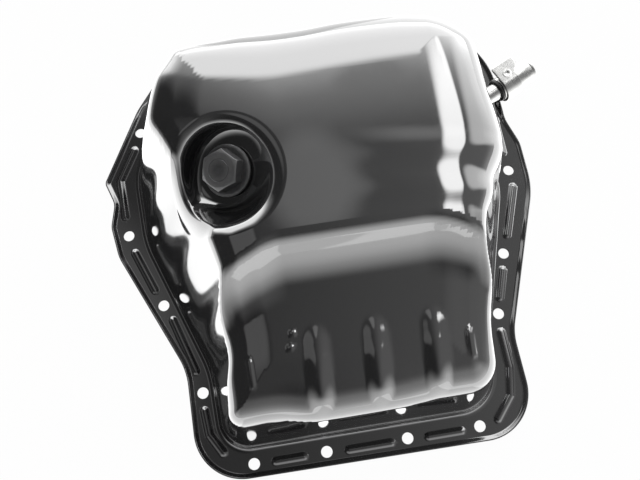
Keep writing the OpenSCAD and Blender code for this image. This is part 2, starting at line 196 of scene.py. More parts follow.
# Fineness of the meshes: the sump's grid along x and y, the pocket's rings, the flange's points.
GRID_COUNT = (150, 170)
GRID_SPAN = (205, 255)
GRID_FINE = 0.85
GRID_REACH = 26
SIDE_POINTS = 60
RING_POINTS = 144
HOLE_POINTS = 40
EDGE_STEP = 2.0
MARK_STEP = 0.7
COARSE_STEP = 4.0
MARK_GAP = 0.5
# Points of the flat stay this far inside the rim.
RIM_GAP = 1.4

# Drain plug, dipstick tube and bracket, in millimetres in their own frames.
PLUG_TIP = -15.3
PLUG_R = 10.0
HEX_R = 12.702
HEX_TURN = 41
FACE_R = 9.65
HEX_SLOPE = math.tan(math.radians(25))
HEAD_TOP = 10.2
HEX_FOOT = 2.2
PLUG_FLANGE_R = 15.25
FACE_RING = (6.6, 6.0, 0.15)
TUBE_FOOT = (127.0, 77.6, 15.0)
TUBE_TURN = math.radians(26)
NECK_R = 5.8
NECK_BACK = -9.0
SHOULDER = 12.0
TUBE_END = 39.5
TUBE_R = 8.0
TUBE_T = 1.5
STRAP_AT = 13.0
STRAP_END = 25.4
LUG_END = 30.5
STRAP_T = 1.5
STRAP_R = 8.05
LUG_W = 12.4
LUG_CORNER = 2.0
# The strap widens to the lug from this place on, over this run with rounded ends.
LUG_FOOT = 1.5
LUG_RUN = 6.5
LUG_ENDS = 2.5
STRAP_STEP = 0.6
# Spot weld: dimple, and the raised ring round it with its radius and width as shares.
WELD_AT = (20.0, 3.6)
WELD_R = 2.1
WELD_DEPTH = 0.35
WELD_RING = 1.1
WELD_RING_W = 0.35
WELD_RING_H = 0.12
SEAL_R = 1.0

# Photograph: lens, and where the camera stands over the pan's sheet.
LENS = 43.9
SENSOR = 36
CAMERA_AT = (-25.7, -158.6, 494.6)
CAMERA_RIGHT = (0.98714, -0.15988, 0)
CLIP = (0.01, 20)

# Studio light by direction: brightness, and the range of x, y or z over which it comes up.
ROOM = 0.05
BACK_BOX, BACK_RANGE = 2.8, (0.47, 0.64)
VEIL, VEIL_RANGE = 0.45, (0.38, 0.5)
# The back box and the veil bend away to the left.
BACK_BEND = 0.45
FRONT_BOX, FRONT_RANGE, FRONT_RISE = 1.0, (-0.2, -0.7), (0.75, 0.15)
RIGHT_SIDE, RIGHT_RANGE = 0.3, (-0.35, 0.55)
HORIZON, HORIZON_RISE = 0.5, (0.32, 0.0)
# Ovals: x and y of their middle, half sizes, brightness. The shades darken the back box instead.
SHADES = [((0.16, 0.5), (0.075, 0.035), 0.75), ((-0.22, 0.45), (0.08, 0.05), 0.75)]
SPOTS = [
    ((0.04, 0.33), (0.1, 0.12), 0.35), ((0.45, 0.36), (0.12, 0.27), 4.0),
    ((0.9, 0.38), (0.3, 0.3), 1.5), ((-0.3, 0.2), (0.2, 0.25), 0.25),
]

# Table, in metres: white floor, and light panels that lie on it round the part.
FLOOR_HALF = 3.0
FLOOR_COLOUR = (0.9, 0.9, 0.9, 1)
FLOOR_GLOW = 0.97
PANEL = 1.4
PANEL_NEAR = 0.09
PANEL_FAR = 2.9
PANEL_LEFT_FAR = 0.8
PANEL_Z = 0.0004
FRONT_PANEL = 0.6
BACK_PANEL = 0.4

WHITE = (1, 1, 1, 1)


def unit(v):
    """Direction of v, of length 1."""
    return v / np.linalg.norm(v)


def arcs(corners):
    """Centre, radius, start angle and signed sweep of each rounded corner."""
    out = []
    n = len(corners)
    for i, (x, y, r) in enumerate(corners):
        p = np.array([x, y], float)
        u = unit(np.array(corners[i - 1][:2]) - p)
        v = unit(np.array(corners[(i + 1) % n][:2]) - p)
        half = math.acos(float(np.clip(u @ v, -1, 1))) / 2
        centre = p + unit(u + v) * (r / math.sin(half))
        start = p + u * (r / math.tan(half)) - centre
        way = math.copysign(1, u[0] * v[1] - u[1] * v[0])
        out.append((centre, r, math.atan2(start[1], start[0]), -way * (math.pi - 2 * half)))
    return out


def arc_point(arc, t):
    """Point at share t along an arc."""
    centre, r, start, sweep = arc
    a = start + sweep * t
    return centre + r * np.array([math.cos(a), math.sin(a)])


def outline(corners, step):
    """Closed outline with points no further apart than step."""
    rows = arcs(corners)
    points = []
    for i, arc in enumerate(rows):
        n = max(4, math.ceil(abs(arc[3]) * arc[1] / step))
        points += [arc_point(arc, k / n) for k in range(n + 1)]
        a, b = arc_point(arc, 1), arc_point(rows[(i + 1) % len(rows)], 0)
        m = math.ceil(np.linalg.norm(b - a) / step)
        points += [a + (b - a) * k / m for k in range(1, m)]
    return np.array(points)


def inward(points):
    """Directions into a closed anticlockwise outline."""
    t = np.roll(points, -1, 0) - np.roll(points, 1, 0)
    t /= np.linalg.norm(t, axis=1)[:, None]
    return np.column_stack([-t[:, 1], t[:, 0]])


def inset(points, d):
    """Outline moved inward by d."""
    return points + d * inward(points)


EDGE = outline(FLANGE_CORNERS, EDGE_STEP)
FOOT_ARCS = arcs(FOOT_CORNERS)
# The sheet's middle lies this far from the frame's origin.
SHIFT = np.array([cad_bounds[0][0] / MM, cad_bounds[0][1] / MM]) \
    - outline(FLANGE_CORNERS, 1).min(0)


def foot_distance(x, y):
    """Distance to the foot of the wall, from true lines and arcs."""
    best = np.full(x.shape, 1e9)
    for i, arc in enumerate(FOOT_ARCS):
        centre, r, start, sweep = arc
        dx, dy = x - centre[0], y - centre[1]
        turn = (np.arctan2(dy, dx) - start) * math.copysign(1, sweep)
        turn = np.mod(turn + 1e-9, 2 * math.pi)
        gap = np.abs(np.hypot(dx, dy) - r)
        best = np.where(turn <= abs(sweep) + 2e-9, np.minimum(best, gap), best)
        a, b = arc_point(arc, 1), arc_point(FOOT_ARCS[(i + 1) % len(FOOT_ARCS)], 0)
        length = np.linalg.norm(b - a)
        u = (b - a) / length
        along = (x - a[0]) * u[0] + (y - a[1]) * u[1]
        side = np.abs((x - a[0]) * u[1] - (y - a[1]) * u[0])
        best = np.where((along >= -1e-9) & (along <= length + 1e-9), np.minimum(best, side), best)
    return best


def lean(x, y):
    """The wall's run over rise, blended from the entries of LEANS."""
    total = np.zeros(x.shape)
    weights = np.zeros(x.shape)
    for px, py, value in LEANS:
        w = 1 / ((x - px) ** 2 + (y - py) ** 2 + LEAN_BLUR) ** 2
        total += w * value
        weights += w
    return total / weights


def ramp(t, run, a, b):
    """From 0 to 1 over run, with rounded ends a and b."""
    g = 1 / (run - a / 2 - b / 2)
    mid = g * (t - a / 2)
    out = np.where(t < a, g * t * t / (2 * a), mid)
    out = np.where(t > run - b, 1 - g * (run - t) ** 2 / (2 * b), out)
    return np.where(t <= 0, 0, np.where(t >= run, 1, out))


def dome(rho):
    """Rounded bump over rho from 0 to 1, with a soft foot."""
    s = np.clip(rho, 0, 1)
    return (1 - s * s) ** 2


def wave(x, y):
    """Height of the pressed waves, which come up towards the right."""
    s = (WAVE_BACK - (y + WAVE_SKEW * (x - WAVE_SKEW_X))) / WAVE_PITCH
    swell = WAVE_H * np.sin(math.pi * s) ** 2
    share = ramp(x - WAVE_START, WAVE_FADE, WAVE_ENDS, WAVE_ENDS)
    return np.where((s > 0) & (s < WAVE_COUNT), swell * share, 0)


def capsule(x, y, mid, turn, length):
    """Distance from a short line through mid, shorter past its two ends."""
    dx, dy = x - mid[0], y - mid[1]
    along = -dx * math.sin(turn) + dy * math.cos(turn)
    across = dx * math.cos(turn) + dy * math.sin(turn)
    back = np.maximum(along - length / 2, 0)
    front = np.maximum(-along - length / 2, 0)
    return np.hypot(across, back * BACK_STRETCH + front * FRONT_STRETCH)


def line_gap(x, y, line):
    """Distance from a chain of straight lines."""
    gap = np.full(x.shape, 1e9)
    for (ax, ay), (bx, by) in zip(line, line[1:]):
        ux, uy = bx - ax, by - ay
        t = np.clip(((x - ax) * ux + (y - ay) * uy) / (ux * ux + uy * uy), 0, 1)
        gap = np.minimum(gap, np.hypot(x - ax - t * ux, y - ay - t * uy))
    return gap


def ribs(x, y):
    """Height of the ribs, lower at the back."""
    out = np.zeros(x.shape)
    for i in (-1, 0, 1):
        mid = (RIB_MID[0] + i * RIB_PITCH, RIB_MID[1])
        out += dome(capsule(x, y, mid, RIB_TURN, RIB_L) / (RIB_W / 2))
    rise = ramp(RIB_MID[1] + RIB_L / 2 - y, RIB_L, RIB_ENDS, RIB_ENDS)
    return RIB_H * out * (RIB_LOW + (1 - RIB_LOW) * rise)


def details(x, y):
    """Height of the side beads and the pips."""
    out = np.zeros(x.shape)
    for bx, by, length in SIDE_BEADS:
        out += SIDE_BEAD_H * dome(capsule(x, y, (bx, by), 0, length) / (SIDE_BEAD_W / 2))
    for px, py in PIPS:
        out += PIP_H * dome(np.hypot(x - px, y - py) / (PIP_W / 2))
    return out


def slope_front(x):
    """Line where the slope ends at the shelf, as y over x."""
    left = np.maximum(0, LEFT_TURN_X - x)
    right = np.maximum(0, x - RIGHT_TURN_X)
    turn = LEFT_TURN_RATE * left * left / (left + LEFT_TURN_EASE)
    return DEEP_FRONT - SLOPE_RUN - right * right * RIGHT_TURN_RATE - turn


def bottom(x, y):
    """Height of the bottom without walls: shelf in front, slope, deep part behind."""
    s = ramp(y - slope_front(x) + SLOPE_FADE, SLOPE_RUN + SLOPE_MORE, SLOPE_FOOT, SLOPE_TOP)
    low = SHELF_H + SHELF_FALL * (y - SHELF_MID)
    high = DEEP_H - ((x - DEEP_TOP[0]) / DEEP_SPAN[0]) ** 2 - ((y - DEEP_TOP[1]) / DEEP_SPAN[1]) ** 2
    return low + (high - low) * s + WAVE_ON_BOTTOM * s * wave(x, y) + ribs(x, y) + details(x, y)


def wall_height(d, m):
    """Height of a wall of slope m at a distance from its foot, which starts with a rounding."""
    t = np.arctan(m)
    d1 = FOOT_R * np.sin(t)
    low = FOOT_R - np.sqrt(np.maximum(FOOT_R ** 2 - d * d, 0))
    return FLANGE_T + np.where(d < d1, low, FOOT_R * (1 - np.cos(t)) + (d - d1) * m)


def edge_radius(x, y):
    """Radius between wall and bottom, widest round the back and the front."""
    across, along = (ramp(v - at, run, BACK_EDGE_ENDS, BACK_EDGE_ENDS)
                     for v, at, run in zip((x, y), BACK_EDGE_AT, BACK_EDGE_RUN))
    front = ramp(FRONT_EDGE_AT - y, FRONT_EDGE_RUN, FRONT_EDGE_ENDS, FRONT_EDGE_ENDS)
    return EDGE_R + BACK_EDGE_MORE * across * along + FRONT_EDGE_MORE * front


def rounded(w, b, m, r):
    """Lower of wall w and bottom b, joined by an arc of radius r with a soft start."""
    t = np.arctan(m)
    reach = r * np.tan(t / 2)
    start = -reach * np.cos(t)
    e = (w - b) / m
    arc = b - r + np.sqrt(np.maximum(r ** 2 - (reach - e) ** 2, 0))
    mid = EASE_AT * reach
    side = np.where(e > mid, EASE_RUN + reach - mid, mid - start)
    dip = EASE_FALL * dome(np.abs(e - mid) / side)
    return np.where(e >= reach, b, np.where(e <= start, w, arc)) - dip


def height(x, y):
    """Height of the sump's outer surface."""
    m = 1 / lean(x, y)
    d = foot_distance(x, y)
    out = (wave(x, y) + RIB_ON_WALL * ribs(x, y)) * np.minimum(1, d / WALL_FADE)
    return rounded(wall_height(d + out, m), bottom(x, y), m, edge_radius(x, y))


def slope_of(surface, x, y, e=0.04):
    """Rise of a surface along x and y."""
    return ((surface(x + e, y) - surface(x - e, y)) / (2 * e),
            (surface(x, y + e) - surface(x, y - e)) / (2 * e))


def normals_of(surface, x, y):
    """Directions off a surface, of length 1."""
    gx, gy = slope_of(surface, x, y)
    n = np.column_stack([-gx, -gy, np.ones(x.shape)])
    return n / np.linalg.norm(n, axis=1)[:, None]


def even_ways(n):
    """Directions at even angles round the full turn."""
    t = np.linspace(0, 2 * math.pi, n, endpoint=False)
    return np.column_stack([np.cos(t), np.sin(t)])


# ---------------------------------------------------------------- flange height
def bead_height(x, y):
    """Height of the flange's beads over its flat."""
    out = np.zeros(x.shape)
    for line in BEADS:
        out = np.maximum(out, BEAD_H * dome(line_gap(x, y, line) / (BEAD_W / 2)))
    return out


def flange_height(x, y):
    """Height of the flange's outer surface inside its rim."""
    return FLANGE_T + bead_height(x, y)


# ---------------------------------------------------------------- skin mesh
class Skin:
    """Points with their normals, and faces, of the pan's outer surface."""

    def __init__(self):
        self.co = []
        self.no = []
        self.faces = []
        self.count = 0

    def add(self, co, no):
        """Takes in points with their normals. Returns their numbers."""
        first = self.count
        self.co.append(np.asarray(co, float))
        self.no.append(np.asarray(no, float))
        self.count += len(co)
        return np.arange(first, self.count)

    def points(self):
        """All points and all normals."""
        return np.vstack(self.co), np.vstack(self.no)

    def strip(self, a, b):
        """Faces between two closed rings."""
        n = len(a)
        for k in range(n):
            j = (k + 1) % n
            self.faces.append((a[k], a[j], b[j], b[k]))

    def fill(self, rings, extra, keep):
        """Triangles between closed rings of points, with extra points, where keep says so."""
        co = np.vstack(self.co)
        ids = np.concatenate(list(rings) + [extra]).astype(int)
        edges, first = [], 0
        for ring in rings:
            n = len(ring)
            edges += [(first + k, first + (k + 1) % n) for k in range(n)]
            first += n
        flat = [Vector((float(x), float(y))) for x, y in co[ids, :2]]
        vert, _, tris, origin, _, _ = delaunay_2d_cdt(flat, edges, [], 0, 1e-7)
        place = {k: at for at, sources in enumerate(origin) for k in sources}
        walls = {frozenset((place[a], place[b])) for a, b in edges}
        xy, tris = np.array([v[:] for v in vert]), np.array(tris)
        a, b, c = xy[tris[:, 0]], xy[tris[:, 1]], xy[tris[:, 2]]
        turn = (b[:, 0] - a[:, 0]) * (c[:, 1] - a[:, 1]) - (b[:, 1] - a[:, 1]) * (c[:, 0] - a[:, 0])
        for group in joined(tris, walls):
            largest = max(group, key=lambda k: abs(turn[k]))
            if abs(turn[largest]) > 1e-5 and keep(xy[tris[largest]].mean(0)[None])[0]:
                for k in group:
                    row = tuple(int(ids[origin[v][0]]) for v in tris[k])
                    self.faces.append(row if turn[k] > 0 else row[::-1])


def joined(tris, walls):
    """Groups of triangles that meet over edges other than walls."""
    users = {}
    for k, t in enumerate(tris.tolist()):
        for a, b in ((t[0], t[1]), (t[1], t[2]), (t[2], t[0])):
            edge = frozenset((a, b))
            if edge not in walls:
                users.setdefault(edge, []).append(k)
    beside = [[] for _ in tris]
    for a, b in (pair for pair in users.values() if len(pair) == 2):
        beside[a].append(b)
        beside[b].append(a)
    left, groups = set(range(len(tris))), []
    while left:
        group, front = [], [left.pop()]
        while front:
            k = front.pop()
            group.append(k)
            new = [m for m in beside[k] if m in left]
            left.difference_update(new)
            front += new
        groups.append(group)
    return groups


def inside(points, loop):
    """Whether points lie inside a closed loop."""
    x, y = points[:, 0], points[:, 1]
    a, b = loop, np.roll(loop, -1, 0)
    hit = np.zeros(len(points), bool)
    for (ax, ay), (bx, by) in zip(a, b):
        if ay == by:
            continue
        cross = ((ay > y) != (by > y)) & (x < (bx - ax) * (y - ay) / (by - ay) + ax)
        hit ^= cross
    return hit


def side_marks(count, span, fine, reach):
    """Marks from 0 to 1 over span, spaced fine at both ends within reach."""
    near = np.arange(0, reach, fine)
    far = np.linspace(reach, span / 2, max(2, int(count / 2 - len(near))))
    half = np.concatenate([near, far]) / span
    return np.concatenate([half, (1 - half[::-1])[1:]])


def foot_side(i, j, key):
    """Points of the foot from the middle of corner i to that of corner j, in order of x or y."""
    rows = []
    k = i
    while True:
        lo = 0.5 if k == i else 0
        hi = 0.5 if k == j else 1
        rows += [arc_point(FOOT_ARCS[k], t) for t in np.linspace(lo, hi, SIDE_POINTS)]
        if k == j:
            break
        k = (k + 1) % len(FOOT_ARCS)
    rows = np.array(rows)
    return rows[np.argsort(rows[:, key], kind="stable")]


def on_side(table, key, a, b, t):
    """Points of a side at shares t between its ends a and b."""
    s = a[key] + (b[key] - a[key]) * t
    other = np.interp(s, table[:, key], table[:, 1 - key])
    return np.stack([s, other] if key == 0 else [other, s], -1)


def grid_plan():
    """Plan of the sump's grid, which fits the four sides of the foot."""
    fl, fr, br, bl = (arc_point(FOOT_ARCS[i], 0.5) for i in (0, 1, 4, 5))
    uu, vv = np.meshgrid(*(side_marks(count, span, GRID_FINE, GRID_REACH)
                           for count, span in zip(GRID_COUNT, GRID_SPAN)))
    front = on_side(foot_side(0, 1, 0), 0, fl, fr, uu)
    back = on_side(foot_side(4, 5, 0), 0, bl, br, uu)
    left = on_side(foot_side(5, 0, 1), 1, fl, bl, vv)
    right = on_side(foot_side(1, 4, 1), 1, fr, br, vv)
    s, t = uu[..., None], vv[..., None]
    low = fl + (fr - fl) * s
    high = bl + (br - bl) * s
    return front + (back - front) * t + left + (right - left) * s - (low + (high - low) * t)


def sump_grid(skin):
    """Smooth grid over the sump. Returns its points by row, and their plan."""
    plan = grid_plan()
    x, y = plan[..., 0].ravel(), plan[..., 1].ravel()
    z = height(x, y)
    n = normals_of(height, x, y)
    rows, cols = plan.shape[:2]
    rim_points = np.zeros((rows, cols), bool)
    rim_points[0] = rim_points[-1] = True
    rim_points[:, 0] = rim_points[:, -1] = True
    z[rim_points.ravel()] = FLANGE_T
    n[rim_points.ravel()] = (0, 0, 1)
    ids = skin.add(np.column_stack([x, y, z]), n).reshape(rows, cols)
    return ids, plan


def eased(values, spread):
    """Values round a circle, smoothed over an angle."""
    swings = np.fft.rfft(values)
    swings *= np.exp(-(np.arange(len(swings)) * spread) ** 2 / 2)
    return np.fft.irfft(swings, len(values))


def bend(p, q, r, steps):
    """Curve from p to r that heads for q at both ends, as a list of rings."""
    return [(1 - k) ** 2 * p + 2 * k * (1 - k) * q + k * k * r for k in steps]


def pocket_ways():
    """Downhill and level directions in the pocket's floor, and its axis."""
    ct, st = math.cos(POCKET_TURN), math.sin(POCKET_TURN)
    cl, sl = math.cos(PLUG_LEAN), math.sin(PLUG_LEAN)
    return (np.array([cl * ct, cl * st, -sl]), np.array([-st, ct, 0]),
            np.array([sl * ct, sl * st, cl]))


def pocket_sections():
    """Rings of the drain pocket from its middle out to the sump's bottom."""
    t = np.linspace(0, 2 * math.pi, RING_POINTS, endpoint=False)
    downhill, level, _ = pocket_ways()
    radial = np.cos(t)[:, None] * downhill + np.sin(t)[:, None] * level
    floor = POCKET_MID + POCKET_R * radial
    a = t + POCKET_TURN
    way = np.column_stack([MOUTH[0] * np.cos(a), MOUTH[1] * np.sin(a)])
    mouth = POCKET_MID[:2] + np.array(MOUTH_SHIFT) + way
    out = mouth + way / np.linalg.norm(way, axis=1)[:, None] * LIP
    corner = np.column_stack([mouth, eased(height(mouth[:, 0], mouth[:, 1]), MOUTH_EASE)])
    outer = np.column_stack([out, height(out[:, 0], out[:, 1])])
    wall = corner - floor
    length = np.linalg.norm(wall, axis=1)[:, None]
    wall /= length
    toe = POCKET_MID + POCKET_FLAT * radial
    low = floor + wall * LOW_WALL * length
    high = corner - wall * np.minimum(LIP, HIGH_WALL * length)
    rings = [POCKET_MID + share * (toe - POCKET_MID) for share in (0.35, 0.7, 1.0)]
    rings += bend(toe, floor, low, np.linspace(0, 1, 11)[1:])
    rings += [(low + high) / 2]
    rings += bend(high, corner, outer, np.linspace(0, 1, 12))
    return np.array(rings)


def pocket_rings(skin):
    """Adds the drain pocket. Returns its outermost ring and that ring's plan."""
    rings = pocket_sections()
    out = rings[-1][:, :2]
    axis = pocket_ways()[2]
    around = np.roll(rings, -1, 1) - np.roll(rings, 1, 1)
    normal = np.cross(np.gradient(rings, axis=0), around)
    normal /= np.linalg.norm(normal, axis=2)[..., None]
    normal[:3] = axis
    normal[-1] = normals_of(height, out[:, 0], out[:, 1])
    ids = [skin.add(r, m) for r, m in zip(rings, normal)]
    centre = skin.add([POCKET_MID], [axis])[0]
    for k in range(RING_POINTS):
        skin.faces.append((centre, ids[0][k], ids[0][(k + 1) % RING_POINTS]))
    for a_ring, b_ring in zip(ids, ids[1:]):
        skin.strip(b_ring, a_ring)
    return ids[-1], out


def boundary_loops(faces):
    """Closed loops of the edges that only one face uses, along the faces' own direction."""
    seen = {}
    for f in faces:
        for a, b in zip(f, f[1:] + f[:1]):
            seen[(a, b)] = seen.get((a, b), 0) + 1
    nxt = {a: b for (a, b) in seen if (b, a) not in seen}
    loops = []
    while nxt:
        start, b = nxt.popitem()
        loop = [start]
        while b != start:
            loop.append(b)
            b = nxt.pop(b)
        loops.append(loop)
    return loops


def pan_skin():
    """Sump, drain pocket and flange as one surface."""
    skin = Skin()
    ids, plan = sump_grid(skin)
    ring, ring_plan = pocket_rings(skin)
    room = POCKET_MID[:2] + (ring_plan - POCKET_MID[:2]) * POCKET_ROOM
    taken = inside(plan.reshape(-1, 2), room).reshape(ids.shape)
    rows, cols = ids.shape
    grid_faces = []
    for j in range(rows - 1):
        for i in range(cols - 1):
            if not taken[j:j + 2, i:i + 2].any():
                grid_faces.append((ids[j, i], ids[j, i + 1], ids[j + 1, i + 1], ids[j + 1, i]))
    loops = sorted(boundary_loops(grid_faces), key=len)
    gap, foot = loops[0], loops[-1]
    skin.faces += grid_faces
    gap_plan = np.vstack(skin.co)[gap, :2]
    skin.fill([gap, ring], np.array([], int),
              lambda c: inside(c, gap_plan) & ~inside(c, ring_plan))
    flange(skin, foot)
    return skin


def rim(skin):
    """Adds the turned-up rim. Returns the ring where it meets the flat."""
    ways, rings = inward(EDGE), []
    for d, rise, tilt in RIM_PROFILE:
        p = inset(EDGE, d)
        n = np.column_stack([ways * tilt, np.ones(len(p))])
        n /= np.linalg.norm(n, axis=1)[:, None]
        rings.append(skin.add(np.column_stack([p, np.full(len(p), FLANGE_T + rise)]), n))
    for a, b in zip(rings, rings[1:]):
        skin.strip(b, a)
    return rings[0]


def bolt_hole(skin, at):
    """Adds a hole's rounded lip. Returns its ring in the flat."""
    circle = even_ways(HOLE_POINTS)
    lip = np.array(at) + circle * (BOLT_R + HOLE_ROUND)
    low = np.array(at) + circle * BOLT_R
    upper = skin.add(np.column_stack([lip, np.full(HOLE_POINTS, FLANGE_T)]),
                     [(0, 0, 1)] * HOLE_POINTS)
    n = np.column_stack([-circle, np.ones(HOLE_POINTS)]) / math.sqrt(2)
    lower = skin.add(np.column_stack([low, np.full(HOLE_POINTS, FLANGE_T - HOLE_ROUND)]), n)
    skin.strip(upper, lower)
    return upper


def bead_marks():
    """Close points over the beads and a margin round them."""
    marks, margin = [], BEAD_W / 2
    for line in BEADS:
        for a, b in zip(line, line[1:]):
            a, b = np.array(a, float), np.array(b, float)
            length = np.linalg.norm(b - a)
            u = (b - a) / length
            side = np.array([-u[1], u[0]])
            for s in np.arange(-margin - 0.4, length + margin + 0.5, MARK_STEP):
                for off in np.arange(-margin - 0.5, margin + 0.6, MARK_STEP):
                    marks.append(a + u * s + side * off)
    return marks


def flat_marks(foot_xy):
    """Points inside the flat of the flange, close over the beads and coarse elsewhere."""
    lo, hi = EDGE.min(0), EDGE.max(0)
    coarse = [(x, y) for x in np.arange(lo[0], hi[0], COARSE_STEP)
              for y in np.arange(lo[1], hi[1], COARSE_STEP)]
    marks = np.array(bead_marks() + coarse)
    marks = marks[inside(marks, inset(EDGE, RIM_W + RIM_GAP))
                  & ~inside(marks, inset(foot_xy, -MARK_STEP))]
    for b in BOLTS:
        marks = marks[np.hypot(*(marks - b).T) > BOLT_R + MARK_STEP]
    return thin_out(marks, MARK_GAP)


def flange(skin, foot):
    """Flat of the flange with its beads and holes, and the turned-up rim."""
    flat = rim(skin)
    flat_xy = inset(EDGE, RIM_PROFILE[0][0])
    holes = [bolt_hole(skin, b) for b in BOLTS]
    foot_xy = np.vstack(skin.co)[foot, :2]
    x, y = flat_marks(foot_xy).T
    extra = skin.add(np.column_stack([x, y, flange_height(x, y)]), normals_of(flange_height, x, y))

    def keep(c):
        solid = inside(c, flat_xy) & ~inside(c, foot_xy)
        for b in BOLTS:
            solid &= np.hypot(*(c - b).T) > BOLT_R + 0.9 * HOLE_ROUND
        return solid

    skin.fill([flat, foot] + holes, extra, keep)


def thin_out(points, gap):
    """Points no closer to each other than about gap."""
    seen, out = set(), []
    for p in points:
        key = (round(p[0] / gap), round(p[1] / gap))
        if key not in seen:
            seen.add(key)
            out.append(p)
    return np.array(out)


def used_points(skin):
    """The skin's points and normals without those in no face, and its faces over them."""
    co, no = skin.points()
    used = sorted({k for f in skin.faces for k in f})
    new = np.full(len(co), -1)
    new[used] = np.arange(len(used))
    return co[used], no[used], [tuple(int(new[k]) for k in f) for f in skin.faces]


def shell_mesh(skin, name):
    """Closed sheet of the wall's thickness under the skin, with the skin's own normals."""
    co, no, faces = used_points(skin)
    count = len(co)
    under = co - no * WALL_T
    all_faces = list(faces) + [tuple(k + count for k in f[::-1]) for f in faces]
    normal = [no[k] for f in faces for k in f] + [-no[k] for f in faces for k in f[::-1]]
    for loop in boundary_loops(faces):
        for a, b in zip(loop, loop[1:] + loop[:1]):
            all_faces.append((b, a, a + count, b + count))
            e = co[a] - co[b]
            n = np.cross(e, under[a] - co[b])
            n = n / (np.linalg.norm(n) + 1e-12)
            normal += [n] * 4
    points = np.vstack([co, under])
    points[:, :2] += SHIFT
    points[:, 2] = np.maximum(points[:, 2], 0)
    mesh = bpy.data.meshes.new(name)
    mesh.from_pydata((points * MM).tolist(), [], all_faces)
    mesh.polygons.foreach_set("use_smooth", [True] * len(mesh.polygons))
    mesh.normals_split_custom_set([tuple(n) for n in normal])
    mesh.update()
    return mesh


# ---------------------------------------------------------------- plug, tube and bracket
def own_frame(mid, lean_angle, turn):
    """Matrix from a piece's own millimetres to the frame's metres."""
    at = Vector((mid[0] + SHIFT[0], mid[1] + SHIFT[1], mid[2])) * MM
    turned = Matrix.Rotation(turn, 4, "Z") @ Matrix.Rotation(lean_angle, 4, "Y")
    return Matrix.Translation(at) @ turned @ Matrix.Scale(MM, 4)


def link(name, data):
    """Object of a mesh, light or camera, in the scene."""
    obj = bpy.data.objects.new(name, data)
    bpy.context.scene.collection.objects.link(obj)
    return obj


def ring_piece(name, rings, matrix, closed=False, sharp=32):
    """Closed piece through rings of points, capped at its ends or closed on itself."""
    rings = [np.asarray(r, float) for r in rings]
    n = len(rings[0])
    co = [tuple(p) for r in rings for p in r]
    pairs = list(zip(range(len(rings)), range(1, len(rings))))
    if closed:
        pairs.append((len(rings) - 1, 0))
    faces = [(a * n + k, a * n + (k + 1) % n, b * n + (k + 1) % n, b * n + k)
             for a, b in pairs for k in range(n)]
    if not closed:
        for ring in (0, len(rings) - 1):
            co.append(tuple(rings[ring].mean(0)))
            for k in range(n):
                a, b = ring * n + k, ring * n + (k + 1) % n
                faces.append((len(co) - 1, b, a) if ring == 0 else (len(co) - 1, a, b))
    mesh = bpy.data.meshes.new(name)
    mesh.from_pydata(co, [], faces)
    mesh.transform(matrix)
    mesh.polygons.foreach_set("use_smooth", [True] * len(mesh.polygons))
    mesh.set_sharp_from_angle(angle=math.radians(sharp))
    return link(name, mesh)


def circle_rings(ways, profile):
    """Rings of radius r at height z along the given directions."""
    return [np.column_stack([ways * r, np.full(len(ways), z)]) for r, z in profile]


def plug_body():
    """Shank, round flange and chamfered hexagon with a faint ring on its face."""
    turns = [math.radians(HEX_TURN + a) for a in range(0, 360, 60)]
    hexagon = outline([(HEX_R * math.cos(a), HEX_R * math.sin(a), 0.5) for a in turns], 0.8)
    reach = np.linalg.norm(hexagon, axis=1)
    ways = hexagon / reach[:, None]
    top = HEAD_TOP - (reach - FACE_R) * HEX_SLOPE

    def hex_ring(share, z):
        return np.column_stack([hexagon * share, z + np.zeros(len(hexagon))])

    edge, (outer, inner, sunk) = PLUG_FLANGE_R, FACE_RING
    rings = circle_rings(ways, [
        (PLUG_R - 1.6, PLUG_TIP), (PLUG_R - 1.0, PLUG_TIP + 0.15), (PLUG_R - 0.1, PLUG_TIP + 1.1),
        (PLUG_R, PLUG_TIP + 1.4), (PLUG_R, 0), (edge - 0.4, 0), (edge - 0.1, 0.12), (edge, 0.4),
        (edge, 1.25), (edge - 0.12, 1.55), (edge - 0.45, 1.75), (edge - 1.6, HEX_FOOT - 0.1),
        (HEX_R + 0.398, HEX_FOOT)])
    rings += [hex_ring(1.0, HEX_FOOT + 0.05), hex_ring(0.985, HEX_FOOT + 0.5),
              hex_ring(0.985, top - 0.5), hex_ring(0.978, top - 0.16),
              hex_ring(0.96, top + reach * 0.04 * HEX_SLOPE)]
    rings += circle_rings(ways, [
        (FACE_R + 0.25, HEAD_TOP - 0.13), (FACE_R - 0.2, HEAD_TOP), (outer, HEAD_TOP),
        (outer - sunk, HEAD_TOP - sunk), (inner + sunk, HEAD_TOP - sunk), (inner, HEAD_TOP),
        (inner / 2, HEAD_TOP)])
    return ring_piece("plug_body", rings,
                      own_frame(POCKET_MID + GASKET_T * pocket_ways()[2], PLUG_LEAN, POCKET_TURN))


